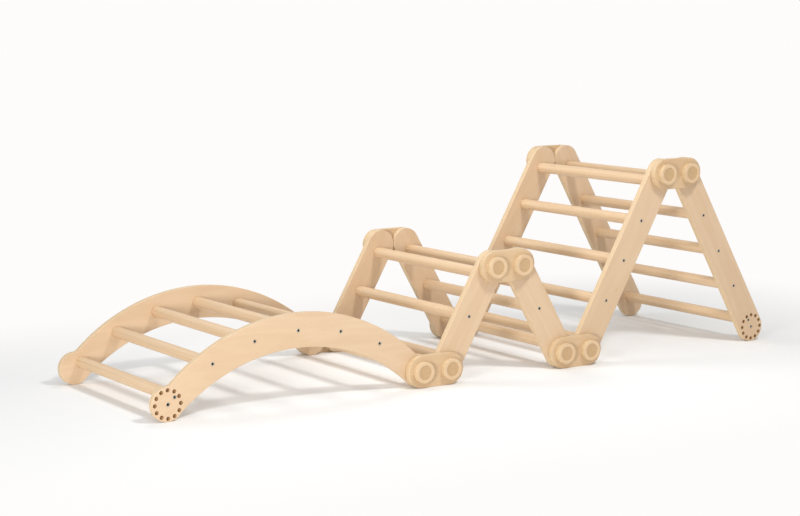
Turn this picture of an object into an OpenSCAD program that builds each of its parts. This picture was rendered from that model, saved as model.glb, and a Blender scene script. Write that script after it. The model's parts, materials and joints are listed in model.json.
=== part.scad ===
// Folding climbing set: an arch, a small triangle and a large triangle in one chain.
// Five rung ladders stand side by side along X. Neighbours meet at flat connector plates,
// near and far, where a turned knob clamps each panel end and sliding pins lock its angle.
// Millimetres, +X along the chain towards the large triangle, +Z up, floor at z = 0.

/* [Set] */
// Width over the outer faces of the side panels
set_w = 580; // [520:10:660]
// Gap between the round ends of neighbouring panels
disc_gap = 1; // [0.6:0.2:3]

/* [Side panels] */
// Plywood thickness of a side panel
panel_t = 18; // [17:1:21]
// Width of a panel, and diameter of its round ends
panel_w = 90; // [88:1:97]

/* [Ladders] */
// Distance between rung centres of a straight ladder
rung_pitch = 130; // [100:5:160]
// Distance from the centre of a round end to the end rung
end_offset = 25; // [24.8:0.1:27]
// Rungs in each ladder of the small triangle
small_rungs = 3; // [3:1:4]
// Rungs in each ladder of the large triangle
large_rungs = 5; // [4:1:6]

/* [Arch] */
// Distance between the centres of the arch's round ends
arch_span = 762; // [730:2:800]
// Radius of the circle through the arch's rungs and round ends
arch_r = 558; // [530:2:600]
// Rungs in the arch
arch_rungs = 7; // [6:1:8]
// Wood above the rung circle at the arch's crown
crown_above = 46.7; // [30:0.1:60]
// Wood below the rung circle at the arch's crown
crown_below = 46.3; // [30:0.1:60]
// Wood outside the rung circle where the band meets a round end
end_above = 26.8; // [20:0.1:32]
// Wood inside the rung circle where the band meets a round end
end_below = 44.1; // [36:0.1:44.5]
// Radius of the hollow corner between the upper edge and a round end
notch_r = 24; // [12:2:30]

/* [Rungs] */
// Rung diameter
rung_d = 32; // [28:1:33]
// Depth of the blind socket that takes a rung's end
socket_depth = 7; // [5:0.5:7.5]

/* [Rung screws] */
// Diameter of a screw's flat head
screw_head_d = 10.6; // [9.6:0.2:10.8]
// Thickness of a screw's flat head
screw_head_t = 1.4; // [1:0.1:2]
// Diameter of a screw's shank
screw_d = 7; // [6.6:0.2:7.6]
// Length of a screw's shank below its head
screw_l = 48; // [40:1:60]
// Width across flats of the hexagon socket
hex_w = 4.5; // [4:0.25:5]
// Depth of the hexagon socket
hex_depth = 3; // [2:0.5:5]

/* [Index ring] */
// Blind holes in the ring of a round end, a multiple of 4
ring_holes = 12; // [8, 12]
// Radius of the ring through the hole centres
ring_r = 36.5; // [36.4:0.1:37.5]
// Diameter of a ring hole
ring_hole_d = 11; // [10:0.1:11.1]
// Room left beyond a pin's end in its ring hole
ring_hole_room = 0.5; // [0.2:0.1:1]

/* [Threaded inserts] */
// Diameter of an insert's body
insert_d = 9.6; // [9:0.2:10.4]
// Diameter of an insert's flange
insert_flange_d = 11; // [10.8:0.2:12]
// Thickness of an insert's flange
insert_flange_t = 0.8; // [0.6:0.1:1.4]
// Length of an insert
insert_l = 13.5; // [12.5:0.5:14.5]

/* [Connector plates] */
// Thickness of a connector plate
plate_t = 18; // [15:1:21]
// Wood left behind a pin's blind bore
pin_wall = 3.5; // [3:0.5:5]

/* [Index pins] */
// Diameter of an index pin
pin_d = 10.4; // [9.6:0.1:10.4]
// Travel of the pins from the plate into the ring
pin_travel = 8; // [6:0.5:8]

/* [Clamp knobs] */
// Knob diameter
knob_d = 60; // [52:1:62]
// Height of a knob above the plate
knob_h = 14.4; // [13:0.2:18]
// Slope width of a knob's rim
knob_rim = 1.5; // [1:0.5:3]
// Diameter of the round hollow in a knob's face
knob_hollow_d = 40; // [30:1:46]
// Depth of the hollow in a knob's face
knob_hollow_depth = 1.5; // [0.5:0.25:2.5]
// Diameter of a knob's threaded stud
stud_d = 6; // [5:0.5:6]
// Depth of a stud in its knob
stud_seat = 8; // [6:0.5:9]
// Depth of a stud in the threaded insert
stud_reach = 12; // [9:0.5:12]

/* [Clearances] */
// Radial clearance of round pieces in their bores
round_gap = 0.05; // [0.02:0.01:0.08]
// Gap between flat faces that turn against each other
face_gap = 0.3; // [0.2:0.05:0.5]
// Gap at the bottom of a socket or bore
seat_gap = 0.1; // [0.05:0.05:0.3]

/* [Hidden] */

// Facets of large rounds, small rounds and a hexagon
fn_large = 128;
fn_small = 48;
fn_hex = 6;

birch_colour = [0.90, 0.78, 0.61];
beech_colour = [0.88, 0.72, 0.53];
steel_colour = [0.62, 0.64, 0.67];

// A ladder leans by one step of the index ring
disc_r = panel_w / 2;
disc_pitch = panel_w + disc_gap;
index_step = 360 / ring_holes;
lean = index_step;

// Lengths between the round ends of a straight ladder
small_l = (small_rungs - 1) * rung_pitch + 2 * end_offset;
large_l = (large_rungs - 1) * rung_pitch + 2 * end_offset;
small_run = small_l * sin(lean);
large_run = large_l * sin(lean);

// Places of the round ends along X and above the floor
chain_l = arch_span + 4 * disc_pitch + 2 * small_run + 2 * large_run;
arch_left_x = -chain_l / 2;
arch_right_x = arch_left_x + arch_span;
small_left_x = arch_right_x + disc_pitch;
small_top_x = small_left_x + small_run;
small_right_x = small_top_x + disc_pitch + small_run;
large_left_x = small_right_x + disc_pitch;
large_top_x = large_left_x + large_run;
large_right_x = large_top_x + disc_pitch + large_run;
foot_z = disc_r;
small_top_z = foot_z + small_l * cos(lean);
large_top_z = foot_z + large_l * cos(lean);

// Left round end of each connector joint
arch_foot = [arch_right_x, foot_z];
small_apex = [small_top_x, small_top_z];
middle_foot = [small_right_x, foot_z];
large_apex = [large_top_x, large_top_z];

// Faces across the set, on the near side
outer_y = -set_w / 2;
inner_y = outer_y + panel_t;
plate_in_y = outer_y - face_gap;
plate_out_y = plate_in_y - plate_t;
knob_in_y = plate_out_y - face_gap;

// Rungs and the bores for their screws
rung_r = rung_d / 2;
rung_end_y = inner_y - socket_depth + seat_gap;
screw_start_y = outer_y + screw_head_t;
screw_end_y = screw_start_y + screw_l;

// Arch: centre of the rung circle, and the angle of its end rungs from the crown
arch_mid = arch_span / 2;
arch_cz = -sqrt(arch_r ^ 2 - arch_mid ^ 2);
arch_end_angle = asin(arch_mid / arch_r) - 2 * asin(end_offset / 2 / arch_r);
arch_step = 2 * arch_end_angle / (arch_rungs - 1);

// Radius of an edge of the band: the circle through the crown and both ends, where wood is
// what the edge stands outside the rung circle at the crown and at a round end
function edge_r(crown_wood, end_wood) =
    let (
        rung_dir = [arch_mid, -arch_cz] / arch_r,
        across = rung_dir.x * (arch_r + end_wood),
        drop = arch_r + crown_wood - rung_dir.y * (arch_r + end_wood)
    )
    (across ^ 2 + drop ^ 2) / (2 * drop);

arch_outer_r = edge_r(crown_above, end_above);
arch_inner_r = edge_r(-crown_below, -end_below);
arch_outer_cz = arch_cz + arch_r + crown_above - arch_outer_r;
arch_inner_cz = arch_cz + arch_r - crown_below - arch_inner_r;

// Hollow corner: its circle lies against the round end and the upper edge, and bites a
// hair into both so that the three rounds cross cleanly
notch_bite = 0.05;
notch_to_end = disc_r + notch_r - notch_bite;
notch_to_edge = arch_outer_r + notch_r - notch_bite;
end_to_outer = norm([arch_mid, arch_outer_cz]);
notch_along = (notch_to_end ^ 2 - notch_to_edge ^ 2 + end_to_outer ^ 2) / (2 * end_to_outer);
notch_across = sqrt(notch_to_end ^ 2 - notch_along ^ 2);
outer_dir = [arch_mid, arch_outer_cz] / end_to_outer;
notch_at = notch_along * outer_dir + notch_across * [-outer_dir.y, outer_dir.x];
notch_to_outer = [arch_mid, arch_outer_cz] - notch_at;
notch_foot = notch_at + notch_to_outer / norm(notch_to_outer) * (notch_r + disc_r);

// Pins lie in blind bores of the plate and are drawn back behind its inner face
pin_bore_depth = plate_t - pin_wall;
pin_l = pin_bore_depth - seat_gap - face_gap;
ring_hole_depth = pin_travel + ring_hole_room;

// One overrun serves every cut
cut = 1;

// A cylinder along Y between two places
module bar_y(radius, from_y, to_y, facets = fn_small) {
    translate([0, from_y, 0])
        rotate([-90, 0, 0])
            cylinder(r = radius, h = to_y - from_y, $fn = facets);
}

// An outline in the XZ plane, given its thickness between two places along Y
module slab_y(from_y, to_y) {
    translate([0, to_y, 0])
        rotate([90, 0, 0])
            linear_extrude(height = to_y - from_y)
                children();
}

// The near piece as drawn, or its mirror image on the far side
module on_side(side) {
    mirror([0, side == "far" ? 1 : 0, 0])
        children();
}

// A straight ladder's own frame: up its axis from the centre of its foot
module at_ladder(foot_x, tilt) {
    translate([foot_x, 0, foot_z])
        rotate([0, tilt, 0])
            children();
}

// The arch's own frame: from the centre of its left round end
module at_arch() {
    translate([arch_left_x, 0, foot_z])
        children();
}

module at_ladder_rungs(count) {
    for (i = [0 : count - 1])
        translate([0, 0, end_offset + i * rung_pitch])
            children();
}

module at_arch_rungs() {
    for (i = [0 : arch_rungs - 1]) {
        angle = -arch_end_angle + i * arch_step;
        translate([arch_mid + arch_r * sin(angle), 0, arch_cz + arch_r * cos(angle)])
            children();
    }
}

module at_ladder_ends(length) {
    for (z = [0, length])
        translate([0, 0, z])
            children();
}

module at_arch_ends() {
    for (x = [0, arch_span])
        translate([x, 0, 0])
            children();
}

// Outline of a straight panel
module ladder_outline(length) {
    translate([-disc_r, 0])
        square([panel_w, length]);
    for (y = [0, length])
        translate([0, y])
            circle(r = disc_r, $fn = fn_large);
}

// Both ends of the arch, the right one as a mirror image of the left one
module at_both_halves() {
    children();
    translate([arch_span, 0, 0])
        mirror([1, 0, 0])
            children();
}

// Outline of the arch's curved band, ending on the lines from its centre to its round ends
module arch_band() {
    reach_share = (arch_r + crown_above + cut) / -arch_cz;
    difference() {
        intersection() {
            translate([arch_mid, arch_outer_cz])
                circle(r = arch_outer_r, $fn = fn_large);
            polygon([
                [arch_mid, arch_cz],
                [arch_mid - arch_mid * reach_share, arch_cz - arch_cz * reach_share],
                [arch_mid + arch_mid * reach_share, arch_cz - arch_cz * reach_share]
            ]);
        }
        translate([arch_mid, arch_inner_cz])
            circle(r = arch_inner_r, $fn = fn_large);
    }
}

// Solid of an arch panel, with a hollow corner where the band meets each round end
module arch_slab() {
    difference() {
        union() {
            slab_y(outer_y, inner_y)
                arch_band();
            at_both_halves() {
                bar_y(disc_r, outer_y, inner_y, fn_large);
                slab_y(outer_y, inner_y)
                    polygon([[0, 0], notch_at, notch_foot]);
            }
        }
        at_both_halves()
            translate([notch_at.x, 0, notch_at.y])
                bar_y(notch_r, outer_y - cut, inner_y + cut, fn_large);
    }
}

// What is cut from a panel's round end: the ring of blind holes and the insert's seat
module end_cuts() {
    for (k = [0 : ring_holes - 1])
        rotate([0, k * index_step, 0])
            translate([0, 0, ring_r])
                bar_y(ring_hole_d / 2, outer_y - cut, outer_y + ring_hole_depth);
    bar_y(insert_d / 2 + round_gap, outer_y - cut, outer_y + insert_l + seat_gap);
    bar_y(insert_flange_d / 2 + round_gap, outer_y - cut, outer_y + insert_flange_t);
}

// What is cut from a panel at a rung: the blind socket and the screw's bore
module rung_cuts() {
    bar_y(rung_r + round_gap, inner_y - socket_depth, inner_y + cut);
    bar_y(screw_d / 2 + round_gap, outer_y - cut, inner_y);
    bar_y(screw_head_d / 2 + round_gap, outer_y - cut, screw_start_y);
}

// Side panel of a straight ladder
module ladder_panel(foot_x, tilt, length, count, side) {
    color(birch_colour)
        on_side(side)
            at_ladder(foot_x, tilt)
                difference() {
                    slab_y(outer_y, inner_y)
                        ladder_outline(length);
                    at_ladder_ends(length)
                        end_cuts();
                    at_ladder_rungs(count)
                        rung_cuts();
                }
}

// Side panel of the arch
module arch_panel(side) {
    color(birch_colour)
        on_side(side)
            at_arch()
                difference() {
                    arch_slab();
                    at_arch_ends()
                        end_cuts();
                    at_arch_rungs()
                        rung_cuts();
                }
}

// A rung from socket to socket, bored at both ends for its screws
module rung() {
    difference() {
        bar_y(rung_r, rung_end_y, -rung_end_y, fn_large);
        for (side = ["near", "far"])
            on_side(side)
                bar_y(screw_d / 2 + round_gap, rung_end_y - cut, screw_end_y + seat_gap);
    }
}

module ladder_rungs(foot_x, tilt, count) {
    color(beech_colour)
        at_ladder(foot_x, tilt)
            at_ladder_rungs(count)
                rung();
}

module arch_rung_set() {
    color(beech_colour)
        at_arch()
            at_arch_rungs()
                rung();
}

// A rung screw: flat head flush with the panel, plain shank, hexagon socket
module rung_screw() {
    difference() {
        union() {
            bar_y(screw_head_d / 2, outer_y, screw_start_y);
            bar_y(screw_d / 2, outer_y, screw_end_y);
        }
        bar_y(hex_w / 2 / cos(180 / fn_hex), outer_y - cut, outer_y + hex_depth, fn_hex);
    }
}

module rung_screw_pair() {
    for (side = ["near", "far"])
        on_side(side)
            rung_screw();
}

module ladder_screws(foot_x, tilt, count) {
    color(steel_colour)
        at_ladder(foot_x, tilt)
            at_ladder_rungs(count)
                rung_screw_pair();
}

module arch_screws() {
    color(steel_colour)
        at_arch()
            at_arch_rungs()
                rung_screw_pair();
}

// A threaded insert: flange flush with the panel, bore right through
module insert() {
    difference() {
        union() {
            bar_y(insert_flange_d / 2, outer_y, outer_y + insert_flange_t);
            bar_y(insert_d / 2, outer_y, outer_y + insert_l);
        }
        bar_y(stud_d / 2 + round_gap, outer_y - cut, outer_y + insert_l + cut);
    }
}

module insert_pair() {
    for (side = ["near", "far"])
        on_side(side)
            insert();
}

module ladder_inserts(foot_x, tilt, length) {
    color(steel_colour)
        at_ladder(foot_x, tilt)
            at_ladder_ends(length)
                insert_pair();
}

module arch_inserts() {
    color(steel_colour)
        at_arch()
            at_arch_ends()
                insert_pair();
}

// The left round end of a connector joint, in the plate's own level frame
module at_joint(joint) {
    translate([joint.x, 0, joint.y])
        children();
}

// Places of the four pins of a plate: two in line at each round end
module at_pins() {
    for (disc_x = [0, disc_pitch], offset = [-ring_r, ring_r])
        translate([disc_x + offset, 0, 0])
            children();
}

// Connector plate: a level stadium with two knob bores and four blind pin bores
module plate(joint, side) {
    color(birch_colour)
        on_side(side)
            at_joint(joint)
                difference() {
                    slab_y(plate_out_y, plate_in_y) {
                        translate([0, -disc_r])
                            square([disc_pitch, panel_w]);
                        for (x = [0, disc_pitch])
                            translate([x, 0])
                                circle(r = disc_r, $fn = fn_large);
                    }
                    for (x = [0, disc_pitch])
                        translate([x, 0, 0])
                            bar_y(stud_d / 2 + round_gap, plate_out_y - cut, plate_in_y + cut);
                    at_pins()
                        bar_y(pin_d / 2 + round_gap, plate_in_y - pin_bore_depth, plate_in_y + cut);
                }
}

// Index pins of one plate, drawn back behind the plate's inner face
module pins(joint, side) {
    color(beech_colour)
        on_side(side)
            at_joint(joint)
                at_pins()
                    bar_y(pin_d / 2, plate_in_y - face_gap - pin_l, plate_in_y - face_gap);
}

// Clamp knob: a turned head with a hollow face, and its stud in a blind bore
module knob(joint, disc_x, side) {
    color(birch_colour)
        on_side(side)
            at_joint(joint)
                translate([disc_x, 0, 0]) {
                    difference() {
                        knob_head();
                        bar_y(stud_d / 2 + round_gap, knob_in_y - stud_seat - seat_gap, knob_in_y + cut);
                    }
                    bar_y(stud_d / 2, knob_in_y - stud_seat, outer_y + stud_reach);
                }
}

module knob_head() {
    knob_r = knob_d / 2;
    hollow_r = knob_hollow_d / 2;
    edge_share = 0.25;
    translate([0, knob_in_y, 0])
        rotate([90, 0, 0])
            rotate_extrude($fn = fn_large)
                polygon([
                    [0, 0],
                    [knob_r - knob_rim * edge_share, 0],
                    [knob_r, knob_rim * edge_share],
                    [knob_r, knob_h - knob_rim],
                    [knob_r - knob_rim, knob_h],
                    [hollow_r, knob_h],
                    [hollow_r, knob_h - knob_hollow_depth],
                    [0, knob_h - knob_hollow_depth]
                ]);
}

arch_panel("near");  // panel_arch_near
arch_panel("far");  // panel_arch_far
ladder_panel(small_left_x, lean, small_l, small_rungs, "near");  // panel_small_left_near
ladder_panel(small_left_x, lean, small_l, small_rungs, "far");  // panel_small_left_far
ladder_panel(small_right_x, -lean, small_l, small_rungs, "near");  // panel_small_right_near
ladder_panel(small_right_x, -lean, small_l, small_rungs, "far");  // panel_small_right_far
ladder_panel(large_left_x, lean, large_l, large_rungs, "near");  // panel_large_left_near
ladder_panel(large_left_x, lean, large_l, large_rungs, "far");  // panel_large_left_far
ladder_panel(large_right_x, -lean, large_l, large_rungs, "near");  // panel_large_right_near
ladder_panel(large_right_x, -lean, large_l, large_rungs, "far");  // panel_large_right_far

arch_rung_set();  // rungs_arch
ladder_rungs(small_left_x, lean, small_rungs);  // rungs_small_left
ladder_rungs(small_right_x, -lean, small_rungs);  // rungs_small_right
ladder_rungs(large_left_x, lean, large_rungs);  // rungs_large_left
ladder_rungs(large_right_x, -lean, large_rungs);  // rungs_large_right

arch_screws();  // screws_arch
ladder_screws(small_left_x, lean, small_rungs);  // screws_small_left
ladder_screws(small_right_x, -lean, small_rungs);  // screws_small_right
ladder_screws(large_left_x, lean, large_rungs);  // screws_large_left
ladder_screws(large_right_x, -lean, large_rungs);  // screws_large_right

arch_inserts();  // inserts_arch
ladder_inserts(small_left_x, lean, small_l);  // inserts_small_left
ladder_inserts(small_right_x, -lean, small_l);  // inserts_small_right
ladder_inserts(large_left_x, lean, large_l);  // inserts_large_left
ladder_inserts(large_right_x, -lean, large_l);  // inserts_large_right

plate(arch_foot, "near");  // plate_arch_foot_near
plate(arch_foot, "far");  // plate_arch_foot_far
plate(small_apex, "near");  // plate_small_apex_near
plate(small_apex, "far");  // plate_small_apex_far
plate(middle_foot, "near");  // plate_middle_foot_near
plate(middle_foot, "far");  // plate_middle_foot_far
plate(large_apex, "near");  // plate_large_apex_near
plate(large_apex, "far");  // plate_large_apex_far

pins(arch_foot, "near");  // pins_arch_foot_near
pins(arch_foot, "far");  // pins_arch_foot_far
pins(small_apex, "near");  // pins_small_apex_near
pins(small_apex, "far");  // pins_small_apex_far
pins(middle_foot, "near");  // pins_middle_foot_near
pins(middle_foot, "far");  // pins_middle_foot_far
pins(large_apex, "near");  // pins_large_apex_near
pins(large_apex, "far");  // pins_large_apex_far

knob(arch_foot, 0, "near");  // knob_arch_foot_left_near
knob(arch_foot, 0, "far");  // knob_arch_foot_left_far
knob(arch_foot, disc_pitch, "near");  // knob_arch_foot_right_near
knob(arch_foot, disc_pitch, "far");  // knob_arch_foot_right_far
knob(small_apex, 0, "near");  // knob_small_apex_left_near
knob(small_apex, 0, "far");  // knob_small_apex_left_far
knob(small_apex, disc_pitch, "near");  // knob_small_apex_right_near
knob(small_apex, disc_pitch, "far");  // knob_small_apex_right_far
knob(middle_foot, 0, "near");  // knob_middle_foot_left_near
knob(middle_foot, 0, "far");  // knob_middle_foot_left_far
knob(middle_foot, disc_pitch, "near");  // knob_middle_foot_right_near
knob(middle_foot, disc_pitch, "far");  // knob_middle_foot_right_far
knob(large_apex, 0, "near");  // knob_large_apex_left_near
knob(large_apex, 0, "far");  // knob_large_apex_left_far
knob(large_apex, disc_pitch, "near");  // knob_large_apex_right_near
knob(large_apex, disc_pitch, "far");  // knob_large_apex_right_far
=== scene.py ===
import json
import math

import bmesh
import bpy
import numpy as np
from mathutils import Matrix, Vector, geometry


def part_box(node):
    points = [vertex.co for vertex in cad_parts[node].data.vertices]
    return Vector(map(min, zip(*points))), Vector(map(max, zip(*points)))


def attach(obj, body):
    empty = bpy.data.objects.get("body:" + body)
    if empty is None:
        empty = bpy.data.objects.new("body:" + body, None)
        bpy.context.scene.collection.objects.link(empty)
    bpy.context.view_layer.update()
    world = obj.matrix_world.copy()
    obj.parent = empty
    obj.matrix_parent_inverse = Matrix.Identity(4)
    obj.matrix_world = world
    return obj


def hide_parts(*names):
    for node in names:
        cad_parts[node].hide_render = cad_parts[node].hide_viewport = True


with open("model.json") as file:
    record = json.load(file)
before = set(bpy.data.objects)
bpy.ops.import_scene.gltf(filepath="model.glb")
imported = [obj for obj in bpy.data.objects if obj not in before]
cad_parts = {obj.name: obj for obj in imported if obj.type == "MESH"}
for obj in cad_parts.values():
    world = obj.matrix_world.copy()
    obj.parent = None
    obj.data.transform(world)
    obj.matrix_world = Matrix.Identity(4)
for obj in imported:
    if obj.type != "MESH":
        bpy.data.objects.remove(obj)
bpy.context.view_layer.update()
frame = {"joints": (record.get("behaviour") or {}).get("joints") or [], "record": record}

# Folding climbing set in birch plywood and beech: an arch and two folding triangles in one chain.
# Metres, +X along the chain, +Z up, floor at z = 0. A depth runs inwards from a piece's outer face.

joints = {joint["name"]: joint for joint in frame["joints"]}
mounts = {mount["name"]: mount for mount in frame["record"]["mounts"]}
bodyOf = {node: body for body, nodes in frame["record"]["behaviour"]["bodies"].items() for node in nodes}
chance = np.random.default_rng(7)
sides = {"near": -1, "far": 1}  # which way a side's outer faces look along Y


# Centre of a round end seen along Y, as X and Z
def roundEnd(place):
    return np.array([place["pos_m"][0], place["pos_m"][2]])


def knobEnd(name):
    return roundEnd(joints[f"knob_{name}_near_turn"])


# Each ladder runs from its lower or left round end to its other one
ladders = {
    "arch": (roundEnd(mounts["arch_end_near_insert"]), knobEnd("arch_foot_left")),
    "small_left": (knobEnd("arch_foot_right"), knobEnd("small_apex_left")),
    "small_right": (knobEnd("middle_foot_left"), knobEnd("small_apex_right")),
    "large_left": (knobEnd("middle_foot_right"), knobEnd("large_apex_left")),
    "large_right": (roundEnd(mounts["large_end_near_insert"]), knobEnd("large_apex_right")),
}
rungCounts = {"arch": 7, "small_left": 3, "small_right": 3, "large_left": 5, "large_right": 5}
plateEnds = {
    name: (knobEnd(name + "_left"), knobEnd(name + "_right"))
    for name in ("arch_foot", "small_apex", "middle_foot", "large_apex")
}


# Light of a colour that is written as it looks on a screen
def hexColour(text):
    parts = [int(text[i:i + 2], 16) / 255 for i in (1, 3, 5)]
    return [c / 12.92 if c <= 0.04045 else ((c + 0.055) / 1.055) ** 2.4 for c in parts] + [1.0]


# One node with its settings, its values and the links into it
def addNode(tree, kind, inputs=None, **settings):
    made = tree.nodes.new(kind)
    for name, value in settings.items():
        setattr(made, name, value)
    for socket, value in (inputs or {}).items():
        if isinstance(value, bpy.types.NodeSocket):
            tree.links.new(value, made.inputs[socket])
        else:
            made.inputs[socket].default_value = value
    return made


def newMaterial(name):
    made = bpy.data.materials.new(name)
    made.use_nodes = True
    made.node_tree.nodes.clear()
    return made, made.node_tree


# Birch plywood, sanded and clear oiled: a plain pale rotary veneer with a soft flame figure and
# a few short brown marks, and at each cut edge thirteen thin layers whose grain turns by a
# quarter from one to the next
def birchPlywood(name, light, dark):
    look = {
        "light": light, "dark": dark, "crossLayer": "#E0CBA1", "glue": "#B18C60", "mark": "#AC7F52",
        "layer": 0.00145, "firstLayerShare": 0.29, "glueWidth": 0.07,
        "flameLength": 0.42, "flameWidth": 0.055, "flameTurns": 34.0, "layerShift": 3.7,
        "fibreLength": 0.045, "fibreWidth": 0.0016, "markLength": 0.016, "markWidth": 0.0035,
        "flameShare": 0.09, "figureShare": 0.7, "fibreShare": 0.4, "paleBelow": 0.15,
        "markFrom": 0.73, "markTo": 0.8, "markShare": 0.55, "crossShare": 0.7, "glueShare": 0.5,
        "roughness": 0.5, "roughnessSpread": 0.18, "glueGroove": 0.6, "relief": 0.00025, "bump": 0.25,
    }
    made, tree = newMaterial(name)
    grain = addNode(tree, "ShaderNodeAttribute", attribute_name="grain").outputs["Vector"]
    along, depth, across = addNode(tree, "ShaderNodeSeparateXYZ", {0: grain}).outputs
    layers = addNode(tree, "ShaderNodeMath", {0: depth, 1: 1 / look["layer"], 2: look["firstLayerShare"]},
                     operation="MULTIPLY_ADD").outputs[0]
    layer = addNode(tree, "ShaderNodeMath", {0: layers}, operation="FLOOR").outputs[0]
    crossing = addNode(tree, "ShaderNodeMath", {0: layer, 1: 2.0}, operation="MODULO").outputs[0]
    toGlue = addNode(tree, "ShaderNodeMath", {0: layers, 1: 0.5}, operation="PINGPONG").outputs[0]
    glue = addNode(tree, "ShaderNodeMapRange", {
        "Value": toGlue, "From Min": 0.0, "From Max": look["glueWidth"], "To Min": 1.0, "To Max": 0.0,
    }, clamp=True).outputs[0]

    # A place in the grain, divided by a length along it and a width across it
    def stretched(length, width, spot):
        lengthways = addNode(tree, "ShaderNodeMath", {0: along, 1: 1 / length}, operation="MULTIPLY")
        crossways = addNode(tree, "ShaderNodeMath", {0: across, 1: 1 / width}, operation="MULTIPLY")
        return addNode(tree, "ShaderNodeCombineXYZ", {
            0: lengthways.outputs[0], 1: spot, 2: crossways.outputs[0]}).outputs[0]

    # Each layer takes its own figure
    figureSpot = addNode(tree, "ShaderNodeMath", {0: layer, 1: look["layerShift"]}, operation="MULTIPLY")
    figure = addNode(tree, "ShaderNodeTexNoise", {
        "Vector": stretched(look["flameLength"], look["flameWidth"], figureSpot.outputs[0]),
        "Scale": 1.0, "Detail": 3.0, "Roughness": 0.45, "Distortion": 0.35}).outputs["Fac"]
    turns = addNode(tree, "ShaderNodeMath", {0: figure, 1: look["flameTurns"]}, operation="MULTIPLY")
    flame = addNode(tree, "ShaderNodeMath", {0: turns.outputs[0]}, operation="SINE").outputs[0]
    fibre = addNode(tree, "ShaderNodeTexNoise", {
        "Vector": stretched(look["fibreLength"], look["fibreWidth"], layer),
        "Scale": 1.0, "Detail": 2.0, "Roughness": 0.6}).outputs["Fac"]
    speck = addNode(tree, "ShaderNodeTexNoise", {
        "Vector": stretched(look["markLength"], look["markWidth"], layer),
        "Scale": 1.0, "Detail": 1.0, "Distortion": 0.6}).outputs["Fac"]
    mark = addNode(tree, "ShaderNodeMapRange", {
        "Value": speck, "From Min": look["markFrom"], "From Max": look["markTo"]}).outputs[0]
    shade = addNode(tree, "ShaderNodeMath", {0: flame, 1: look["flameShare"]}, operation="MULTIPLY")
    shade = addNode(tree, "ShaderNodeMath", {0: figure, 1: look["figureShare"], 2: shade.outputs[0]},
                    operation="MULTIPLY_ADD")
    shade = addNode(tree, "ShaderNodeMath", {0: fibre, 1: look["fibreShare"], 2: shade.outputs[0]},
                    operation="MULTIPLY_ADD")
    shade = addNode(tree, "ShaderNodeMapRange", {
        "Value": shade.outputs[0], "From Min": look["paleBelow"], "From Max": 1.0})
    colour = addNode(tree, "ShaderNodeMix", {
        0: shade.outputs[0], 6: hexColour(look["light"]), 7: hexColour(look["dark"])}, data_type="RGBA")
    markShare = addNode(tree, "ShaderNodeMath", {0: mark, 1: look["markShare"]}, operation="MULTIPLY")
    colour = addNode(tree, "ShaderNodeMix", {
        0: markShare.outputs[0], 6: colour.outputs[2], 7: hexColour(look["mark"])}, data_type="RGBA")
    crossShare = addNode(tree, "ShaderNodeMath", {0: crossing, 1: look["crossShare"]}, operation="MULTIPLY")
    colour = addNode(tree, "ShaderNodeMix", {
        0: crossShare.outputs[0], 6: colour.outputs[2], 7: hexColour(look["crossLayer"])}, data_type="RGBA")
    glueShare = addNode(tree, "ShaderNodeMath", {0: glue, 1: look["glueShare"]}, operation="MULTIPLY")
    colour = addNode(tree, "ShaderNodeMix", {
        0: glueShare.outputs[0], 6: colour.outputs[2], 7: hexColour(look["glue"])}, data_type="RGBA")
    rough = addNode(tree, "ShaderNodeMath", {
        0: fibre, 1: look["roughnessSpread"], 2: look["roughness"] - look["roughnessSpread"] / 2,
    }, operation="MULTIPLY_ADD")
    relief = addNode(tree, "ShaderNodeMath", {0: glue, 1: -look["glueGroove"], 2: fibre},
                     operation="MULTIPLY_ADD")
    bump = addNode(tree, "ShaderNodeBump", {
        "Strength": look["bump"], "Distance": look["relief"], "Height": relief.outputs[0]})
    wood = addNode(tree, "ShaderNodeBsdfPrincipled", {
        "Base Color": colour.outputs[2], "Roughness": rough.outputs[0], "IOR": 1.5,
        "Normal": bump.outputs[0]})
    addNode(tree, "ShaderNodeOutputMaterial", {"Surface": wood.outputs[0]})
    return made


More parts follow.
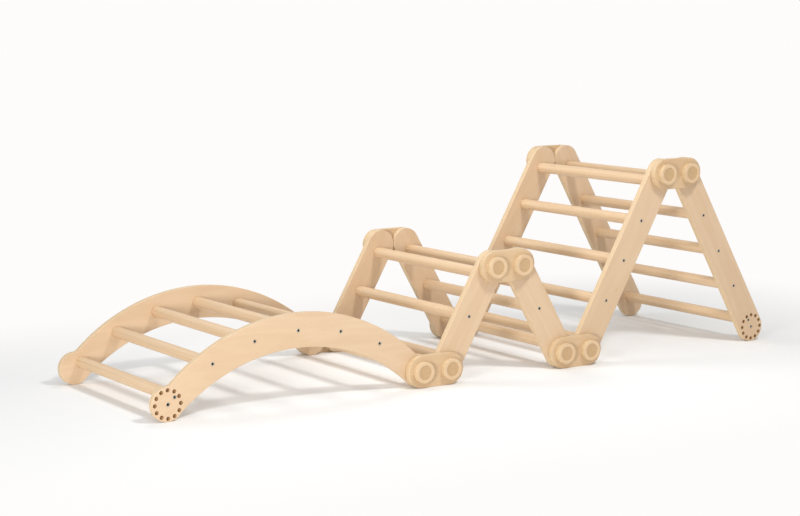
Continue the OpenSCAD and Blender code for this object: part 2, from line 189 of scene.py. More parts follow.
# Beech dowel, sanded and clear oiled: warm and even, with faint long streaks and the short
# dark flecks of its rays, drawn a little coarse so that they show
def beechDowel():
    look = {
        "light": "#DDC2A0", "dark": "#D2B28C", "fleck": "#B98D62",
        "streakLength": 0.35, "streakWidth": 0.006, "fleckLength": 0.007, "fleckWidth": 0.0011,
        "streakFrom": 0.3, "streakTo": 0.7, "fleckFrom": 0.62, "fleckTo": 0.74, "fleckShare": 0.5,
        "roughness": 0.48, "roughnessSpread": 0.16, "relief": 0.0002, "bump": 0.2,
    }
    made, tree = newMaterial("beechDowelOiled")
    grain = addNode(tree, "ShaderNodeAttribute", attribute_name="grain").outputs["Vector"]
    streakScale = (1 / look["streakLength"], 1 / look["streakWidth"], 1 / look["streakWidth"])
    fleckScale = (1 / look["fleckLength"], 1 / look["fleckWidth"], 1 / look["fleckWidth"])
    streakPlace = addNode(tree, "ShaderNodeMapping", {"Vector": grain, "Scale": streakScale})
    fleckPlace = addNode(tree, "ShaderNodeMapping", {"Vector": grain, "Scale": fleckScale})
    streak = addNode(tree, "ShaderNodeTexNoise", {
        "Vector": streakPlace.outputs[0], "Scale": 1.0, "Detail": 3.0, "Roughness": 0.55, "Distortion": 0.2,
    }).outputs["Fac"]
    speck = addNode(tree, "ShaderNodeTexNoise", {
        "Vector": fleckPlace.outputs[0], "Scale": 1.0, "Detail": 1.0}).outputs["Fac"]
    shade = addNode(tree, "ShaderNodeMapRange", {
        "Value": streak, "From Min": look["streakFrom"], "From Max": look["streakTo"]})
    fleck = addNode(tree, "ShaderNodeMapRange", {
        "Value": speck, "From Min": look["fleckFrom"], "From Max": look["fleckTo"],
        "To Max": look["fleckShare"]})
    colour = addNode(tree, "ShaderNodeMix", {
        0: shade.outputs[0], 6: hexColour(look["light"]), 7: hexColour(look["dark"])}, data_type="RGBA")
    colour = addNode(tree, "ShaderNodeMix", {
        0: fleck.outputs[0], 6: colour.outputs[2], 7: hexColour(look["fleck"])}, data_type="RGBA")
    rough = addNode(tree, "ShaderNodeMath", {
        0: streak, 1: look["roughnessSpread"], 2: look["roughness"] - look["roughnessSpread"] / 2,
    }, operation="MULTIPLY_ADD")
    bump = addNode(tree, "ShaderNodeBump", {
        "Strength": look["bump"], "Distance": look["relief"], "Height": streak})
    wood = addNode(tree, "ShaderNodeBsdfPrincipled", {
        "Base Color": colour.outputs[2], "Roughness": rough.outputs[0], "IOR": 1.5,
        "Normal": bump.outputs[0]})
    addNode(tree, "ShaderNodeOutputMaterial", {"Surface": wood.outputs[0]})
    return made


# Wall of a drilled hole with painted shade: darker brown than the face for the shade deep in the hole, dull
# and a little uneven
def paintedBoreShade():
    look = {
        "brown": "#C8A479", "shadedBrown": "#9E7A53", "patch": 0.004, "patchFrom": 0.35, "patchTo": 0.65,
        "roughness": 0.75, "relief": 0.0002, "bump": 0.3,
    }
    made, tree = newMaterial("birchBorePaintedShade")
    grain = addNode(tree, "ShaderNodeAttribute", attribute_name="grain").outputs["Vector"]
    patch = addNode(tree, "ShaderNodeTexNoise", {
        "Vector": grain, "Scale": 1 / look["patch"], "Detail": 3.0}).outputs["Fac"]
    shade = addNode(tree, "ShaderNodeMapRange", {
        "Value": patch, "From Min": look["patchFrom"], "From Max": look["patchTo"]})
    colour = addNode(tree, "ShaderNodeMix", {
        0: shade.outputs[0], 6: hexColour(look["brown"]), 7: hexColour(look["shadedBrown"])}, data_type="RGBA")
    bump = addNode(tree, "ShaderNodeBump", {
        "Strength": look["bump"], "Distance": look["relief"], "Height": patch})
    wood = addNode(tree, "ShaderNodeBsdfPrincipled", {
        "Base Color": colour.outputs[2], "Roughness": look["roughness"], "IOR": 1.5,
        "Normal": bump.outputs[0]})
    addNode(tree, "ShaderNodeOutputMaterial", {"Surface": wood.outputs[0]})
    return made


# Floor of a routed hollow in plywood: cross grain opened by the cutter and left raw, with painted shade on
# top in place of the shading of an engraved pattern left out, so it is darker and duller than the oiled face
# round it
def routedHollow():
    look = {
        "light": "#C4A67F", "dark": "#B28F67", "patch": 0.006,
        "roughness": 0.7, "relief": 0.0002, "bump": 0.4,
    }
    made, tree = newMaterial("birchRoutedRawAndShade")
    grain = addNode(tree, "ShaderNodeAttribute", attribute_name="grain").outputs["Vector"]
    patch = addNode(tree, "ShaderNodeTexNoise", {
        "Vector": grain, "Scale": 1 / look["patch"], "Detail": 4.0}).outputs["Fac"]
    colour = addNode(tree, "ShaderNodeMix", {
        0: patch, 6: hexColour(look["light"]), 7: hexColour(look["dark"])}, data_type="RGBA")
    bump = addNode(tree, "ShaderNodeBump", {
        "Strength": look["bump"], "Distance": look["relief"], "Height": patch})
    wood = addNode(tree, "ShaderNodeBsdfPrincipled", {
        "Base Color": colour.outputs[2], "Roughness": look["roughness"], "IOR": 1.5,
        "Normal": bump.outputs[0]})
    addNode(tree, "ShaderNodeOutputMaterial", {"Surface": wood.outputs[0]})
    return made


# Steel, turned and zinc plated: a warm pale grey, half dull, with fine turning marks
def zincSteel():
    look = {
        "bright": "#BDB8AC", "dull": "#A39E92", "patch": 0.003,
        "roughness": 0.38, "roughnessSpread": 0.2, "relief": 0.0001, "bump": 0.15,
    }
    made, tree = newMaterial("steelZincPlated")
    grain = addNode(tree, "ShaderNodeAttribute", attribute_name="grain").outputs["Vector"]
    patch = addNode(tree, "ShaderNodeTexNoise", {
        "Vector": grain, "Scale": 1 / look["patch"], "Detail": 4.0}).outputs["Fac"]
    colour = addNode(tree, "ShaderNodeMix", {
        0: patch, 6: hexColour(look["bright"]), 7: hexColour(look["dull"])}, data_type="RGBA")
    rough = addNode(tree, "ShaderNodeMath", {
        0: patch, 1: look["roughnessSpread"], 2: look["roughness"] - look["roughnessSpread"] / 2,
    }, operation="MULTIPLY_ADD")
    bump = addNode(tree, "ShaderNodeBump", {
        "Strength": look["bump"], "Distance": look["relief"], "Height": patch})
    metal = addNode(tree, "ShaderNodeBsdfPrincipled", {
        "Base Color": colour.outputs[2], "Metallic": 1.0, "Roughness": rough.outputs[0],
        "Normal": bump.outputs[0]})
    addNode(tree, "ShaderNodeOutputMaterial", {"Surface": metal.outputs[0]})
    return made


# Painted shade on the steel inside a driven socket and deep in a thread: dull and nearly black, in place of
# the shade of the recess
def paintedSocketShade():
    look = {
        "paleShade": "#191817", "deep": "#0B0B0A", "patch": 0.002,
        "roughness": 0.7, "relief": 0.0001, "bump": 0.2,
    }
    made, tree = newMaterial("paintedShadeSocket")
    grain = addNode(tree, "ShaderNodeAttribute", attribute_name="grain").outputs["Vector"]
    patch = addNode(tree, "ShaderNodeTexNoise", {
        "Vector": grain, "Scale": 1 / look["patch"], "Detail": 3.0}).outputs["Fac"]
    colour = addNode(tree, "ShaderNodeMix", {
        0: patch, 6: hexColour(look["paleShade"]), 7: hexColour(look["deep"])}, data_type="RGBA")
    bump = addNode(tree, "ShaderNodeBump", {
        "Strength": look["bump"], "Distance": look["relief"], "Height": patch})
    shadeBsdf = addNode(tree, "ShaderNodeBsdfPrincipled", {
        "Base Color": colour.outputs[2], "Roughness": look["roughness"], "IOR": 1.45,
        "Normal": bump.outputs[0]})
    addNode(tree, "ShaderNodeOutputMaterial", {"Surface": shadeBsdf.outputs[0]})
    return made


panelPly = birchPlywood("birchPlywoodPanels", "#D6BB9C", "#C8A986")
platePly = birchPlywood("birchPlywoodPlates", "#D0B591", "#C3A17B")
knobPly = birchPlywood("birchPlywoodKnobs", "#D7BC98", "#CAA983")
dowel = beechDowel()
# Painted shade for the walls and floors of the ring holes
bore = paintedBoreShade()
routed = routedHollow()
steel = zincSteel()
# Painted shade for the inside of the screw sockets and for the inserts' deeper threads
socket = paintedSocketShade()
print("materials made")


# Rings of points, K rings of M points each, joined by quads round every pair of neighbours
def ringSurface(rings, slots=None):
    count, around = rings.shape[:2]
    index = np.arange(count * around).reshape(count, around)
    following = np.roll(index, -1, axis=1)
    quads = np.stack([index[:-1], following[:-1], following[1:], index[1:]], axis=-1).reshape(-1, 4)
    rows = np.zeros(count - 1, int) if slots is None else np.asarray(slots)
    return rings.reshape(-1, 3), quads, np.repeat(rows, around)


# Depths from the outer face become places along Y on the near or the far side
def placed(flat, depth, outerY, side):
    flat = np.asarray(flat, float)
    depth = np.broadcast_to(np.asarray(depth, float), flat.shape[:-1])
    return np.stack([flat[..., 0], sides[side] * (outerY - depth), flat[..., 1]], axis=-1)


# A turned surface: each pair of a radius and a depth goes once round the centre, and radius 0 is a pole
def turned(profile, centre, outerY, side, around, slots=None, shape=None):
    angle = np.linspace(0, 2 * np.pi, around, endpoint=False)
    profile = np.asarray(profile, float)
    reach = profile[:, 0, None] * np.ones(around) if shape is None else shape(profile, angle)
    flat = np.stack([centre[0] + reach * np.cos(angle), centre[1] + reach * np.sin(angle)], axis=-1)
    return ringSurface(placed(flat, profile[:, 1, None], outerY, side), slots)


# An outline drawn inwards: every corner moves along the bisector of its two edges
def insetLoops(outline, insets):
    step = np.roll(outline, -1, axis=0) - outline
    step /= np.linalg.norm(step, axis=1, keepdims=True)
    outward = np.stack([step[:, 1], -step[:, 0]], axis=1)
    before = np.roll(outward, 1, axis=0)
    corner = (outward + before) / (1 + (outward * before).sum(1, keepdims=True))
    return outline[None] - np.asarray(insets)[:, None, None] * corner[None]


# Triangles that fill the space inside one loop and outside the loops it holds
def filled(loops):
    points = np.concatenate(loops)
    starts = np.cumsum([0] + [len(loop) for loop in loops[:-1]])
    edges = np.concatenate([
        start + np.stack([np.arange(len(loop)), np.roll(np.arange(len(loop)), -1)], axis=1)
        for start, loop in zip(starts, loops)
    ])
    verts, _, faces, origin, _, _ = geometry.delaunay_2d_cdt(
        points.tolist(), edges.tolist(), [], 0, 1e-9, True)
    faces = np.array([origin[v][0] for face in faces for v in face]).reshape(-1, 3)
    middle = points[faces].mean(axis=1)
    low, high = points[edges[:, 0]], points[edges[:, 1]]
    spans = (low[None, :, 1] > middle[:, None, 1]) != (high[None, :, 1] > middle[:, None, 1])
    rise = np.where(high[:, 1] == low[:, 1], 1.0, high[:, 1] - low[:, 1])
    crossing = low[:, 0] + (middle[:, None, 1] - low[:, 1]) * (high[:, 0] - low[:, 0]) / rise
    inside = (spans & (crossing > middle[:, None, 0])).sum(axis=1) % 2 == 1
    return points, faces[inside]


# A flat board: its edge profile is carried round the outline, and each hole is a turned surface
# that opens in the outer face, in the inner face or in both
def board(outline, holes, thickness, edgeRadius, outerY, side):
    turn = np.linspace(0, np.pi / 2, 7)
    support = 0.00025  # a narrow flat rim that keeps the shading of the rounded edge off the faces
    inset = edgeRadius * (1 - np.sin(turn))
    depth = edgeRadius * (1 - np.cos(turn))
    insets = np.concatenate([[edgeRadius + support], inset, inset[::-1], [edgeRadius + support]])
    depths = np.concatenate([[0], depth, thickness - depth[::-1], [thickness]])
    loops = insetLoops(outline, insets)
    surfaces = [ringSurface(placed(loops, depths[:, None], outerY, side))]
    faceLoops = {0.0: [loops[0]], thickness: [loops[-1]]}
    for hole in holes:
        surfaces.append(turned(hole["profile"], hole["centre"], outerY, side, hole["around"],
                               hole.get("slots")))
        angle = np.linspace(0, 2 * np.pi, hole["around"], endpoint=False)
        unit = np.stack([np.cos(angle), np.sin(angle)], axis=1)
        for radius, at in (hole["profile"][0], hole["profile"][-1]):
            if radius > 0:
                faceLoops[at].append(np.asarray(hole["centre"]) + radius * unit)
    for at, rims in faceLoops.items():
        points, faces = filled(rims)
        surfaces.append((placed(points, at, outerY, side), faces, np.zeros(len(faces), int)))
    return surfaces


# Surfaces become one closed mesh in its place, with its grain, its finish and its body
def makePiece(name, surfaces, grain, finishes, body, replaced=()):
    offsets = np.cumsum([0] + [len(points) for points, _, _ in surfaces[:-1]])
    points = np.concatenate([points for points, _, _ in surfaces])
    faces = [face for (_, some, _), start in zip(surfaces, offsets) for face in (some + start).tolist()]
    mesh = bpy.data.meshes.new(name)
    mesh.from_pydata(points.tolist(), [], faces)
    slots = np.concatenate([rows for _, _, rows in surfaces]).astype(np.int32)
    mesh.polygons.foreach_set("material_index", slots)
    shell = bmesh.new()
    shell.from_mesh(mesh)
    bmesh.ops.remove_doubles(shell, verts=shell.verts, dist=2e-6)
    bmesh.ops.recalc_face_normals(shell, faces=shell.faces)
    shell.to_mesh(mesh)
    shell.free()
    mesh.polygons.foreach_set("use_smooth", np.ones(len(mesh.polygons), bool))
    mesh.set_sharp_from_angle(angle=math.radians(38))
    places = np.zeros(len(mesh.vertices) * 3, np.float32)
    mesh.vertices.foreach_get("co", places)
    values = mesh.attributes.new("grain", "FLOAT_VECTOR", "POINT")
    values.data.foreach_set("vector", grain(places.reshape(-1, 3)).astype(np.float32).ravel())
    for finish in finishes:
        mesh.materials.append(finish)
    mesh.update()
    piece = bpy.data.objects.new(name, mesh)
    bpy.context.scene.collection.objects.link(piece)
    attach(piece, body)
    if replaced:
        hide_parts(*replaced)
    return piece


# Grain of a board: along its length, down through its layers and across, from a spot of its own
def boardGrain(origin, direction, outerY):
    shift = chance.uniform(-40, 40, 2)

    def grain(places):
        flat = places[:, [0, 2]] - origin
        along = flat @ direction
        across = flat @ np.array([-direction[1], direction[0]])
        return np.stack([along + shift[0], outerY - np.abs(places[:, 1]), across + shift[1]], axis=1)
    return grain


# Grain of dowels that lie along Y: each is turned and moved by an amount of its own
def dowelGrain(centres):
    centres = np.array(centres)
    turn = chance.uniform(0, 2 * np.pi, len(centres))
    shift = chance.uniform(-20, 20, len(centres))

    def grain(places):
        flat = places[:, [0, 2]]
        nearest = np.argmin(((flat[:, None] - centres[None]) ** 2).sum(-1), axis=1)
        local = flat - centres[nearest]
        cosine, sine = np.cos(turn[nearest]), np.sin(turn[nearest])
        return np.stack([places[:, 1] + shift[nearest],
                         local[:, 0] * cosine - local[:, 1] * sine + shift[nearest],
                         local[:, 0] * sine + local[:, 1] * cosine], axis=1)
    return grain


# Points of an arc from one angle to another, no further apart than the step
def arc(centre, radius, start, end, step=0.05):
    count = max(2, int(abs(end - start) / step) + 2)
    angle = np.linspace(start, end, count)
    return np.asarray(centre) + radius * np.stack([np.cos(angle), np.sin(angle)], axis=1)


def headingOf(vector):
    return math.atan2(vector[1], vector[0])


# Outline of a straight board with round ends, counter-clockwise
def stadium(start, end, radius):
    heading = headingOf(end - start)
    return np.concatenate([
        arc(start, radius, heading + math.pi / 2, heading + 1.5 * math.pi),
        arc(end, radius, heading - math.pi / 2, heading + math.pi / 2),
    ])


panelLow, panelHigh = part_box("panel_arch_near")
panel = {
    "width": 0.090, "edgeRadius": 0.0016, "endOffset": 0.025,
    "outerY": -panelLow.y, "thickness": panelHigh.y - panelLow.y,
}
arch = {
    "rungRadius": 0.558, "crownAbove": 0.0467, "crownBelow": 0.0463,
    "endAbove": 0.0268, "endBelow": 0.0441, "notchRadius": 0.024, "filletRadius": 0.06,
}
ring = {
    "holes": 12, "radius": 0.0365, "holeRadius": 0.0055,
    "depth": 0.0085, "dimple": 0.0007, "edge": 0.0002, "around": 28,
}
insert = {
    "flangeRadius": 0.0055, "flange": 0.0008, "bodyRadius": 0.0048, "length": 0.0135,
    "boreRadius": 0.00305, "pitch": 0.001, "thread": 0.0003, "threadEnd": 0.0006, "brightTurns": 3,
    "bevel": 0.0004, "flangeBevel": 0.0003, "gap": 0.00005, "around": 32,
}
screw = {
    "headRadius": 0.0053, "head": 0.0014, "shankRadius": 0.0035, "length": 0.048, "point": 0.001,
    "hexWidth": 0.0045, "hexDepth": 0.003, "hexCorner": 0.0002, "drillPoint": 0.0004,
    "chamfer": 0.0007, "edge": 0.0004, "gap": 0.00005, "around": 48,
}
rung = {
    "radius": 0.016, "socket": 0.007, "edge": 0.0008, "seatGap": 0.0001, "gap": 0.00005, "around": 48,
}


# Rung centres: on a circle through the arch's round ends, or on the line between them
def rungCentres(name):
    start, end = ladders[name]
    count = rungCounts[name]
    if name == "arch":
        middle, half = (start + end) / 2, (end[0] - start[0]) / 2
        centre = middle - np.array([0, math.sqrt(arch["rungRadius"] ** 2 - half ** 2)])
        last = math.asin(half / arch["rungRadius"])
        last -= 2 * math.asin(panel["endOffset"] / 2 / arch["rungRadius"])
        angle = np.linspace(-last, last, count)
        return centre + arch["rungRadius"] * np.stack([np.sin(angle), np.cos(angle)], axis=1)
    length = np.linalg.norm(end - start)
    share = np.linspace(panel["endOffset"], length - panel["endOffset"], count) / length
    return start + share[:, None] * (end - start)


# The point at two given distances from two centres, on the left of the line between them
def meeting(first, firstReach, second, secondReach):
    line = second - first
    gap = np.linalg.norm(line)
    along = (firstReach ** 2 - secondReach ** 2 + gap ** 2) / (2 * gap)
    across = math.sqrt(firstReach ** 2 - along ** 2)
    return first + (along * line + across * np.array([-line[1], line[0]])) / gap


# Outline of an arch panel: upper and lower edges are circles through the crown and both ends,
# and hollow corners lead them into the round ends. The right half mirrors the left half.
def archOutline():
    start, end = ladders["arch"]
    endRadius = panel["width"] / 2
    half = (end[0] - start[0]) / 2
    drop = math.sqrt(arch["rungRadius"] ** 2 - half ** 2)
    rungCircle = np.array([start[0] + half, start[1] - drop])
    towards = np.array([half, drop]) / arch["rungRadius"]

    def edge(crownWood, endWood):
        reach = arch["rungRadius"] + endWood
        across = towards[0] * reach
        fall = arch["rungRadius"] + crownWood - towards[1] * reach
        radius = (across ** 2 + fall ** 2) / (2 * fall)
        return rungCircle + np.array([0, arch["rungRadius"] + crownWood - radius]), radius

    upper, upperRadius = edge(arch["crownAbove"], arch["endAbove"])
    lower, lowerRadius = edge(-arch["crownBelow"], -arch["endBelow"])
    notch = meeting(start, endRadius + arch["notchRadius"], upper, upperRadius + arch["notchRadius"])
    fillet = meeting(start, endRadius + arch["filletRadius"], lower, lowerRadius - arch["filletRadius"])
    quarter, full = math.pi / 2, 2 * math.pi
    left = np.concatenate([
        arc(upper, upperRadius, quarter, headingOf(notch - upper), 0.02),
        arc(notch, arch["notchRadius"], headingOf(upper - notch), headingOf(start - notch), 0.1)[1:],
        arc(start, endRadius, headingOf(notch - start), headingOf(fillet - start) + full)[1:],
        arc(fillet, arch["filletRadius"], headingOf(start - fillet), headingOf(fillet - lower))[1:],
        arc(lower, lowerRadius, headingOf(fillet - lower), quarter, 0.02)[1:],
    ])
    right = left[::-1] * [-1, 1] + [2 * rungCircle[0], 0]
    return np.concatenate([left, right[1:-1]])


# Holes of a side panel: at each end the ring of blind holes and the insert's seat, and at each
# rung the screw's bore with its countersunk head, opening into the rung's socket
def panelHoles(name):
    thickness, gap = panel["thickness"], insert["gap"]
    holes = []
    for centre in ladders[name]:
        holes.append({"centre": centre, "around": insert["around"], "profile": [
            (insert["flangeRadius"] + gap, 0.0), (insert["flangeRadius"] + gap, insert["flange"]),
            (insert["bodyRadius"] + gap, insert["flange"]),
            (insert["bodyRadius"] + gap, insert["length"] + gap), (0.0, insert["length"] + gap)]})
        for turn in np.arange(ring["holes"]) * 2 * np.pi / ring["holes"]:
            place = centre + ring["radius"] * np.array([math.sin(turn), math.cos(turn)])
            # The ring holes' walls and floors take the painted shade in slot 1
            holes.append({"centre": place, "around": ring["around"], "slots": [0, 1, 1, 1, 1], "profile": [
                (ring["holeRadius"] + ring["edge"], 0.0), (ring["holeRadius"], ring["edge"]),
                (ring["holeRadius"], ring["depth"] / 2), (ring["holeRadius"], ring["depth"]),
                (ring["dimple"], ring["depth"]), (0.0, ring["depth"] + ring["dimple"])]})
    for centre in rungCentres(name):
        holes.append({"centre": centre, "around": rung["around"], "profile": [
            (screw["headRadius"] + screw["gap"], 0.0), (screw["headRadius"] + screw["gap"], screw["head"]),
            (screw["shankRadius"] + screw["gap"], screw["head"]),
            (screw["shankRadius"] + screw["gap"], thickness - rung["socket"]),
            (rung["radius"] + rung["gap"], thickness - rung["socket"]),
            (rung["radius"] + rung["gap"], thickness - screw["edge"]),
            (rung["radius"] + rung["gap"] + screw["edge"], thickness)]})
    return holes


for name, (start, end) in ladders.items():
    outline = archOutline() if name == "arch" else stadium(start, end, panel["width"] / 2)
    direction = (end - start) / np.linalg.norm(end - start)
    for side in sides:
        node = f"panel_{name}_{side}"
        surfaces = board(outline, panelHoles(name), panel["thickness"], panel["edgeRadius"],
                         panel["outerY"], side)
        makePiece(f"{node}_board", surfaces, boardGrain(start, direction, panel["outerY"]),
                  [panelPly, bore], bodyOf[node], [node])
print("side panels made")


# Rungs of a ladder: dowels with a small bevel at each end, bored for their screws
for name in ladders:
    node = f"rungs_{name}"
    inner = panel["outerY"] - panel["thickness"] + rung["socket"] - rung["seatGap"]
    shank = screw["shankRadius"] + screw["gap"]
    boreEnd = panel["thickness"] - rung["socket"] - (screw["head"] + screw["length"])
    surfaces = []
    for centre in rungCentres(name):
        half = [(0.0, -boreEnd), (shank, -boreEnd), (shank, 0.0), (rung["radius"] - rung["edge"], 0.0),
                (rung["radius"], rung["edge"])]
        profile = half + [(radius, 2 * inner - depth) for radius, depth in half[::-1]]
        surfaces.append(turned(profile, centre, inner, "near", rung["around"]))
    makePiece(f"{node}_dowels", surfaces, dowelGrain(rungCentres(name)), [dowel],
              bodyOf[node], [node])
print("rungs made")


# Reach of a screw's socket wall: six flats where the profile's radius is written as a negative number
def hexOrRound(profile, angle):
    flat = np.cos(np.pi / 6) / np.cos(np.mod(angle, np.pi / 3) - np.pi / 6)
    radius = profile[:, 0, None]
    return np.where(radius < 0, -radius * flat, radius * np.ones(len(angle)))


# Rung screws: a flat head with a bevelled rim and a hexagon socket, and a plain shank
for name in ladders:
    node = f"screws_{name}"
    corner = screw["hexWidth"] / 2 / math.cos(math.pi / 6)
    tip = screw["head"] + screw["length"]
    profile = [
        (0.0, screw["hexDepth"] + screw["drillPoint"]), (-corner * 0.5, screw["hexDepth"]),
        (-corner, screw["hexDepth"] - screw["hexCorner"]), (-corner, screw["chamfer"]),
        (-corner - screw["chamfer"], 0.0), (screw["headRadius"] - screw["edge"], 0.0),
        (screw["headRadius"], screw["edge"]), (screw["headRadius"], screw["head"]),
        (screw["shankRadius"], screw["head"]), (screw["shankRadius"], tip - screw["point"]),
        (screw["shankRadius"] - screw["point"], tip), (0.0, tip)]
    # The socket's walls and floor take the painted shade in slot 1
    slots = [1, 1, 1, 1, 0, 0, 0, 0, 0, 0, 0]
    surfaces = [turned(profile, centre, panel["outerY"], side, screw["around"], slots, hexOrRound)
                for centre in rungCentres(name) for side in sides]
    makePiece(f"{node}_heads", surfaces, dowelGrain(rungCentres(name)), [steel, socket],
              bodyOf[node], [node])
print("screws made")


# Reach of a threaded wall: the radius falls and rises once in every pitch, later by one pitch per turn
def threadReach(radius, pitch, height):
    def reach(profile, angle):
        phase = profile[:, 1, None] / pitch - angle / (2 * np.pi)
        wave = np.abs(np.mod(phase, 1.0) * 2 - 1)
        plain = profile[:, 0, None] * np.ones(len(angle))
        return np.where(np.abs(plain - radius) < 1e-7, radius + height * (wave - 0.5), plain)
    return reach


# Threaded inserts at the round ends: a thin flange, a plain body and a threaded bore right through,
# bright steel in its first turns and painted shade further in
for name in ladders:
    node = f"inserts_{name}"
    wall, bevel, length = insert["boreRadius"] + insert["thread"] / 2, insert["bevel"], insert["length"]
    threaded = [(wall, depth) for depth in np.arange(
        insert["flange"], length - insert["threadEnd"], insert["pitch"] / 4)]
    profile = [(wall + bevel, 0.0)] + threaded + [
        (wall + bevel, length), (insert["bodyRadius"] - bevel, length),
        (insert["bodyRadius"], length - bevel), (insert["bodyRadius"], insert["flange"]),
        (insert["flangeRadius"], insert["flange"]), (insert["flangeRadius"], insert["flangeBevel"]),
        (insert["flangeRadius"] - insert["flangeBevel"], 0.0), (wall + bevel, 0.0)]
    reach = threadReach(wall, insert["pitch"], insert["thread"])
    brightRows = 4 * insert["brightTurns"]
    # Turns past the bright ones take the painted shade in slot 1
    slots = [0] * (brightRows + 1) + [1] * (len(threaded) - brightRows) + [0] * 7
    surfaces = [turned(profile, centre, panel["outerY"], side, insert["around"], slots, reach)
                for centre in ladders[name] for side in sides]
    makePiece(f"{node}_sleeves", surfaces, dowelGrain(ladders[name]), [steel, socket],
              bodyOf[node], [node])
print("inserts made")


plateLow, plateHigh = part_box("plate_arch_foot_near")
plate = {
    "thickness": plateHigh.y - plateLow.y, "outerY": -plateLow.y, "edgeRadius": 0.002,
    "studRadius": 0.00305, "pinRadius": 0.0052, "pinWall": 0.0035, "pinBevel": 0.001,
    "edge": 0.0003, "gap": 0.00005, "studAround": 24, "pinAround": 28,
}


# Pins of a plate: one on each side of either round end's middle, on the circle of the index holes
def pinCentres(left, right):
    return [centre + [offset, 0] for centre in (left, right) for offset in (-ring["radius"], ring["radius"])]


# Connector plates: level boards with two stud holes right through and four blind pin bores inside
for name, (left, right) in plateEnds.items():
    thickness = plate["thickness"]
    stud, pin = plate["studRadius"], plate["pinRadius"] + plate["gap"]
    holes = [{"centre": centre, "around": plate["studAround"], "profile": [
        (stud + plate["edge"], 0.0), (stud, plate["edge"]), (stud, thickness - plate["edge"]),
        (stud + plate["edge"], thickness)]} for centre in (left, right)]
    holes += [{"centre": centre, "around": plate["pinAround"], "profile": [
        (0.0, plate["pinWall"]), (pin, plate["pinWall"]), (pin, thickness - plate["edge"]),
        (pin + plate["edge"], thickness)]} for centre in pinCentres(left, right)]
    for side in sides:
        node = f"plate_{name}_{side}"
        outline = stadium(left, right, panel["width"] / 2)
        surfaces = board(outline, holes, thickness, plate["edgeRadius"], plate["outerY"], side)
        makePiece(f"{node}_board", surfaces, boardGrain(left, np.array([1.0, 0.0]), plate["outerY"]),
                  [platePly], bodyOf[node], [node])
print("plates made")


# Index pins: short beech dowels with bevelled ends, drawn back in their bores
for name, (left, right) in plateEnds.items():
    for side in sides:
        node = f"pins_{name}_{side}"
        low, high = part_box(node)
        length, outerY = high.y - low.y, max(abs(low.y), abs(high.y))
        radius, bevel = plate["pinRadius"], plate["pinBevel"]
        profile = [(0.0, 0.0), (radius - bevel, 0.0), (radius, bevel),
                   (radius, length - bevel), (radius - bevel, length), (0.0, length)]
        centres = pinCentres(left, right)
        surfaces = [turned(profile, centre, outerY, side, plate["pinAround"]) for centre in centres]
        makePiece(f"{node}_dowels", surfaces, dowelGrain(centres), [dowel], bodyOf[node], [node])
print("pins made")


knobLow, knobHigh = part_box("knob_arch_foot_left_near")
knob = {
    "radius": 0.030, "height": 0.0144, "rim": 0.0012, "backEdge": 0.0004, "outerY": -knobLow.y,
    "hollowRadius": 0.020, "hollow": 0.0015, "lip": 0.0012, "cornerWidth": 0.0012, "cornerHeight": 0.0006,
    "studRadius": 0.003, "studSeat": 0.008, "thread": 0.0001, "threadEnd": 0.0006,
    "studBevel": 0.0004, "edge": 0.0004, "gap": 0.00005, "around": 72, "studAround": 24,
}
knob["studLength"] = knobHigh.y - knobLow.y - knob["height"] + knob["studSeat"]


# Points of a quarter round from one corner of a profile to the next, swelling towards the corner
def quarterRound(start, end, corner, count=6):
    share = np.linspace(0, np.pi / 2, count)[:, None]
    start, end, corner = (np.array(point) for point in (start, end, corner))
    return (corner + (start - corner) * (1 - np.sin(share)) + (end - corner) * (1 - np.cos(share))).tolist()


# Clamp knobs: a board disc with a rounded rim and a bare round hollow with painted shade on its floor, on a
# threaded steel stud
for name in plateEnds:
    for hand, centre in zip(("left", "right"), plateEnds[name]):
        for side in sides:
            node = f"knob_{name}_{hand}_{side}"
            r, h, lip, hollow = knob["radius"], knob["height"], knob["lip"], knob["hollowRadius"]
            shank, seat = knob["studRadius"] + knob["gap"], h - knob["studSeat"] - knob["gap"]
            corner = (hollow - knob["cornerWidth"], knob["hollow"])
            profile = [(0.0, knob["hollow"]), corner]
            profile += quarterRound(corner, (hollow, knob["hollow"] - knob["cornerHeight"]),
                                    (hollow, knob["hollow"]), 4)[1:]
            profile += quarterRound((hollow, lip / 2), (hollow + lip, 0.0), (hollow, 0.0), 5)
            profile += quarterRound((r - knob["rim"], 0.0), (r, knob["rim"]), (r, 0.0), 9)
            profile += [(r, h - knob["backEdge"]), (r - knob["backEdge"], h), (shank + knob["edge"], h),
                        (shank, h - knob["edge"]), (shank, seat), (0.0, seat)]
            # The hollow's floor takes the routed material, raw and with painted shade, in slot 1
            slots = [1] * 4 + [0] * (len(profile) - 5)
            head = turned(profile, centre, knob["outerY"], side, knob["around"], slots)
            turn = chance.uniform(0, 2 * np.pi)
            makePiece(f"{node}_head", [head],
                      boardGrain(centre, np.array([math.cos(turn), math.sin(turn)]), knob["outerY"]),
                      [knobPly, routed], bodyOf[node], [node])
            start, length = h - knob["studSeat"], knob["studLength"]
            core = knob["studRadius"] - knob["thread"] / 2
            steps = [(core, depth) for depth in np.arange(
                start + knob["threadEnd"], start + length - knob["threadEnd"], insert["pitch"] / 4)]
            end = knob["studRadius"] - knob["studBevel"]
            profile = [(0.0, start), (end, start)] + steps + [(end, start + length), (0.0, start + length)]
            reach = threadReach(core, insert["pitch"], knob["thread"])
            stud = turned(profile, centre, knob["outerY"], side, knob["studAround"], shape=reach)
            makePiece(f"{node}_stud", [stud], dowelGrain([centre]), [steel], bodyOf[node])
print("knobs made")


groundColour = "#FEFCFB"  # the photograph's warm white


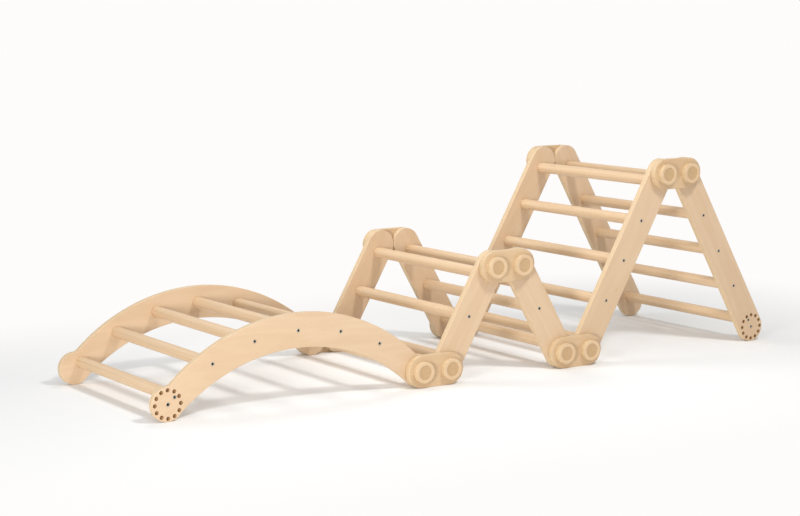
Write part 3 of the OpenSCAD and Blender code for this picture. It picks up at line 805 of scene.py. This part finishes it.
# Share of what the camera sees, straight or through a gloss or a glass
def seenShare(tree):
    path = addNode(tree, "ShaderNodeLightPath").outputs
    seen = addNode(tree, "ShaderNodeMath", {0: path["Is Camera Ray"], 1: path["Is Glossy Ray"]},
                   operation="MAXIMUM").outputs[0]
    return addNode(tree, "ShaderNodeMath", {0: seen, 1: path["Is Transmission Ray"]},
                   operation="MAXIMUM").outputs[0]


# Pale studio floor that fades into the white ground with distance, and keeps the shadows near by
def studioFloor():
    look = {
        "colour": "#F9FAFA", "ground": groundColour, "radius": 60.0, "near": (1.05, 0.35, 0.0),
        "fadeFrom": -0.1, "fadeTo": 1.0,
    }
    made, tree = newMaterial("studioFloorPaint")
    place = addNode(tree, "ShaderNodeTexCoord").outputs["Object"]
    place = addNode(tree, "ShaderNodeVectorMath", {0: place}, operation="ABSOLUTE").outputs[0]
    place = addNode(tree, "ShaderNodeVectorMath", {0: place, 1: look["near"]},
                    operation="SUBTRACT").outputs[0]
    place = addNode(tree, "ShaderNodeVectorMath", {0: place}, operation="MAXIMUM").outputs[0]
    distance = addNode(tree, "ShaderNodeVectorMath", {0: place}, operation="LENGTH").outputs["Value"]
    fade = addNode(tree, "ShaderNodeMapRange", {
        "Value": distance, "From Min": look["fadeFrom"], "From Max": look["fadeTo"],
    }, interpolation_type="SMOOTHSTEP")
    share = addNode(tree, "ShaderNodeMath", {0: fade.outputs[0], 1: seenShare(tree)}, operation="MULTIPLY")
    paint = addNode(tree, "ShaderNodeBsdfDiffuse", {"Color": hexColour(look["colour"])})
    ground = addNode(tree, "ShaderNodeEmission", {"Color": hexColour(look["ground"]), "Strength": 1.0})
    mixed = addNode(tree, "ShaderNodeMixShader", {
        0: share.outputs[0], 1: paint.outputs[0], 2: ground.outputs[0]})
    addNode(tree, "ShaderNodeOutputMaterial", {"Surface": mixed.outputs[0]})
    mesh = bpy.data.meshes.new("studioFloor")
    rim = arc((0, 0), look["radius"], 0, 2 * math.pi * 63 / 64, 0.0999)
    mesh.from_pydata(np.column_stack([rim, np.zeros(len(rim))]).tolist(), [], [list(range(len(rim)))])
    mesh.materials.append(made)
    floor = bpy.data.objects.new("studioFloor", mesh)
    bpy.context.scene.collection.objects.link(floor)


# White ground for what looks past the floor, and a softer sky that lights the wood from all round
def studioSky():
    look = {"ground": groundColour, "sky": "#FFFFFF", "strength": 0.49}
    world = bpy.data.worlds.new("studioSky")
    world.use_nodes = True
    tree = world.node_tree
    tree.nodes.clear()
    sky = addNode(tree, "ShaderNodeBackground", {
        "Color": hexColour(look["sky"]), "Strength": look["strength"]})
    ground = addNode(tree, "ShaderNodeBackground", {"Color": hexColour(look["ground"]), "Strength": 1.0})
    mixed = addNode(tree, "ShaderNodeMixShader", {
        0: seenShare(tree), 1: sky.outputs[0], 2: ground.outputs[0]})
    addNode(tree, "ShaderNodeOutputWorld", {"Surface": mixed.outputs[0]})
    bpy.context.scene.world = world


# Each soft box: where it stands, what it faces, its width in metres and its power in watts
lamps = {
    "softBoxFront": {"place": (0.3, -2.1, 2.9), "target": (0, 0, 0.2), "size": 0.5, "power": 45},
    "softBoxSide": {"place": (-3.6, -2.6, 0.6), "target": (0, 0, 0.3), "size": 1.0, "power": 100},
    "softBoxHigh": {"place": (-1.2, -1.0, 2.4), "target": (0, 0, 0.2), "size": 0.8, "power": 4},
    "softBoxBack": {"place": (-0.3, 0.5, 1.5), "target": (0.4, 0, 0.3), "size": 0.8, "power": 6.5},
}


def softBox(name, place, target, size, power, colour="#FFFFFF"):
    lamp = bpy.data.lights.new(name, "AREA")
    lamp.shape = "DISK"
    lamp.size = size
    lamp.energy = power
    lamp.color = hexColour(colour)[:3]
    held = bpy.data.objects.new(name, lamp)
    held.location = place
    held.rotation_euler = (Vector(target) - Vector(place)).to_track_quat("-Z", "Y").to_euler()
    bpy.context.scene.collection.objects.link(held)


# The camera stands to the left of the front, a little above the large triangle's top
def photoCamera():
    view = {"place": (-3.0883, -4.4604, 1.0531), "azimuth": -33.742, "elevation": 7.855, "roll": -0.126,
            "lens": 84.714, "sensor": 36.0}
    around, up, roll = (math.radians(view[key]) for key in ("azimuth", "elevation", "roll"))
    back = Vector((math.sin(around) * math.cos(up), -math.cos(around) * math.cos(up), math.sin(up)))
    level = Vector((math.cos(around), math.sin(around), 0))
    right = level * math.cos(roll) + back.cross(level) * math.sin(roll)
    lens = bpy.data.cameras.new("photoCamera")
    lens.lens, lens.sensor_width = view["lens"], view["sensor"]
    camera = bpy.data.objects.new("photoCamera", lens)
    axes = Matrix((right, back.cross(right), back)).transposed()
    camera.matrix_world = Matrix.Translation(view["place"]) @ axes.to_4x4()
    bpy.context.scene.collection.objects.link(camera)
    bpy.context.scene.camera = camera


studioFloor()
studioSky()
for name, lamp in lamps.items():
    softBox(name, **lamp)
photoCamera()
bpy.context.scene.view_settings.view_transform = "Standard"
print("studio made")
